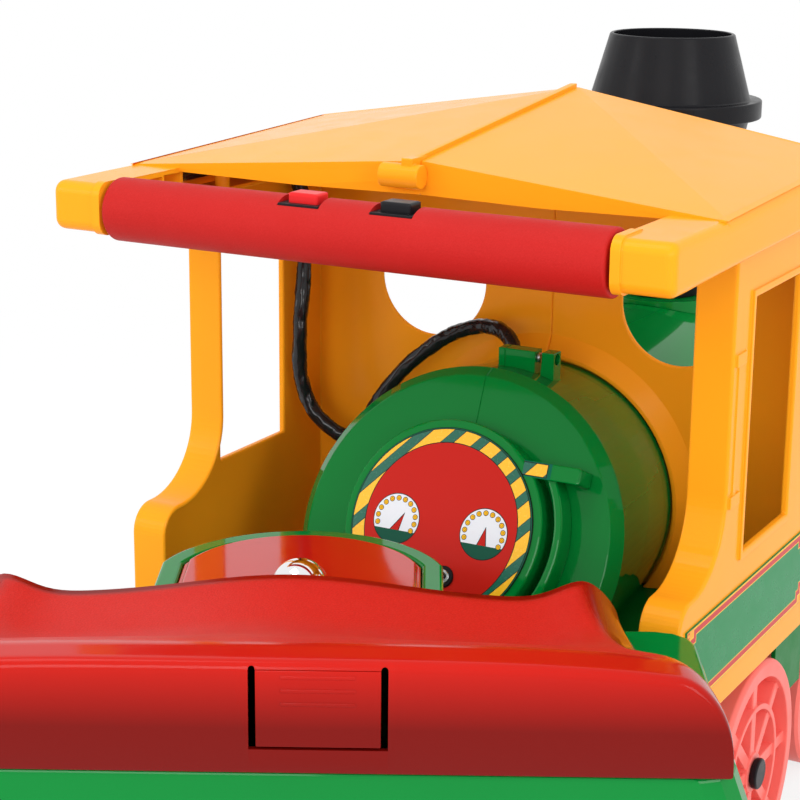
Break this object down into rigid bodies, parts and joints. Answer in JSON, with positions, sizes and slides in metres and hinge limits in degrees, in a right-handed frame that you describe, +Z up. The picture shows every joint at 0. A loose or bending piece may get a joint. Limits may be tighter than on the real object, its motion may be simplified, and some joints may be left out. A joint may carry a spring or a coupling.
{
  "type": "ride-on train",
  "caption": "Child's ride-on train: open-cab locomotive with grip bar and dash drum, and a seat unit turning behind it on a vertical pivot.",
  "frame": {"origin": "on the floor, straight below the pivot between locomotive and seat unit", "axes": "+X forward along the locomotive, +Y to its left, +Z up"},
  "size_m": [1.1793, 0.6326, 0.663],
  "materials": {
    "green": "glossy moulded plastic",
    "orange": "glossy moulded plastic",
    "red": "glossy moulded plastic",
    "wheel_red": "satin moulded plastic",
    "grip_red": "fine grained sleeve",
    "button_red": "smooth push button",
    "black": "satin moulded plastic",
    "dark_plastic": "plain moulded plastic",
    "white_plastic": "plain moulded plastic",
    "dial": "printed plate with two gauges and a striped ring",
    "sign": "printed panel with a red border",
    "gold": "gold paint",
    "lens": "pale lamp lens",
    "cable": "glossy plastic sleeve",
    "steel": "plain steel",
    "brass": "plain brass",
    "chrome": "polished dome"
  },
  "bodies": {
    "loco": {"chassis": "green", "thrust_washer": "white_plastic", "cab_left": "orange", "cab_right": "orange", "roof_left": "orange", "roof_right": "orange", "roof_screws": "steel", "bar_core": "dark_plastic", "grip": "grip_red", "switch_plates": "black", "switch_bodies": "dark_plastic", "drum_left": "green", "drum_right": "green", "dash_boss": "green", "dash_plate": "dial", "charge_socket": "black", "drum_screw": "steel", "sound_box": "dark_plastic", "boiler_left": "green", "boiler_right": "green", "smokebox_front": "black", "headlamp_housing": "gold", "headlamp_lens": "lens", "chimney_collar": "green", "chimney_cone": "black", "chimney_top": "black", "cowcatcher": "red", "battery": "dark_plastic", "battery_strap": "steel", "sign_left": "sign", "sign_right": "sign", "cable_sleeve": "cable", "gearbox_case": "white_plastic", "gearbox_cover": "white_plastic", "motor": "steel", "gear_pin": "steel", "axle_bushes": "white_plastic", "front_axle": "steel", "front_caps": "black"},
    "red_button": {"red_button": "button_red"},
    "black_button": {"black_button": "black"},
    "drive_set": {"drive_axle": "steel", "drive_gear": "white_plastic", "drive_wheel_left": "wheel_red", "drive_wheel_right": "wheel_red", "drive_caps": "black"},
    "compound": {"compound_gear": "white_plastic"},
    "pinion": {"motor_pinion": "brass"},
    "front_left": {"front_wheel_left": "wheel_red"},
    "front_right": {"front_wheel_right": "wheel_red"},
    "tender": {"tender_body": "green", "pivot_cover": "red", "pivot_bolt": "steel", "dome_cap": "chrome", "seat_hinge_rod": "steel"},
    "tender_wheelset": {"tender_axle": "steel", "tender_wheels": "wheel_red", "tender_caps": "black"},
    "seat": {"seat": "red"},
    "latch": {"latch_tab": "red"}
  },
  "joints": [
    {"name": "steer", "type": "hinge", "parent": "loco", "child": "tender", "pos_m": [0, 0, 0.236], "axis": [0, 0, 1], "range_deg": [-58, 2]},
    {"name": "seat_lift", "type": "hinge", "parent": "tender", "child": "seat", "pos_m": [-0.07152, -0.03803, 0.334], "axis": [-0.4695, 0.8829, 0], "range_deg": [0, 55]},
    {"name": "latch_flex", "type": "hinge", "parent": "seat", "child": "latch", "pos_m": [-0.24114, -0.15993, 0.383], "axis": [-0.4695, 0.8829, 0], "range_deg": [-8, 0], "stiffness_Nm_per_rad": 0.6},
    {"name": "red_press", "type": "slide", "parent": "loco", "child": "red_button", "axis": [0, 0, -1], "range_m": [0, 0.003], "stiffness_N_per_m": 600},
    {"name": "black_press", "type": "slide", "parent": "loco", "child": "black_button", "axis": [0, 0, -1], "range_m": [0, 0.003], "stiffness_N_per_m": 600},
    {"name": "drive_spin", "type": "hinge", "parent": "loco", "child": "drive_set", "pos_m": [0.347, 0, 0.095], "axis": [0, 1, 0], "continuous": true},
    {"name": "compound_spin", "type": "hinge", "parent": "loco", "child": "compound", "pos_m": [0.39229, 0, 0.12115], "axis": [0, 1, 0], "continuous": true},
    {"name": "pinion_spin", "type": "hinge", "parent": "loco", "child": "pinion", "pos_m": [0.43585, 0, 0.1463], "axis": [0, 1, 0], "continuous": true},
    {"name": "front_left_spin", "type": "hinge", "parent": "loco", "child": "front_left", "pos_m": [0.6, 0.18, 0.072], "axis": [0, 1, 0], "continuous": true},
    {"name": "front_right_spin", "type": "hinge", "parent": "loco", "child": "front_right", "pos_m": [0.6, -0.18, 0.072], "axis": [0, 1, 0], "continuous": true},
    {"name": "tender_spin", "type": "hinge", "parent": "tender", "child": "tender_wheelset", "pos_m": [-0.16423, -0.08732, 0.095], "axis": [-0.4695, 0.8829, 0], "continuous": true}
  ],
  "couplings": [
    {"joint": "compound_spin", "follows": "drive_spin", "ratio": -3.3333},
    {"joint": "pinion_spin", "follows": "drive_spin", "ratio": 13.333}
  ]
}
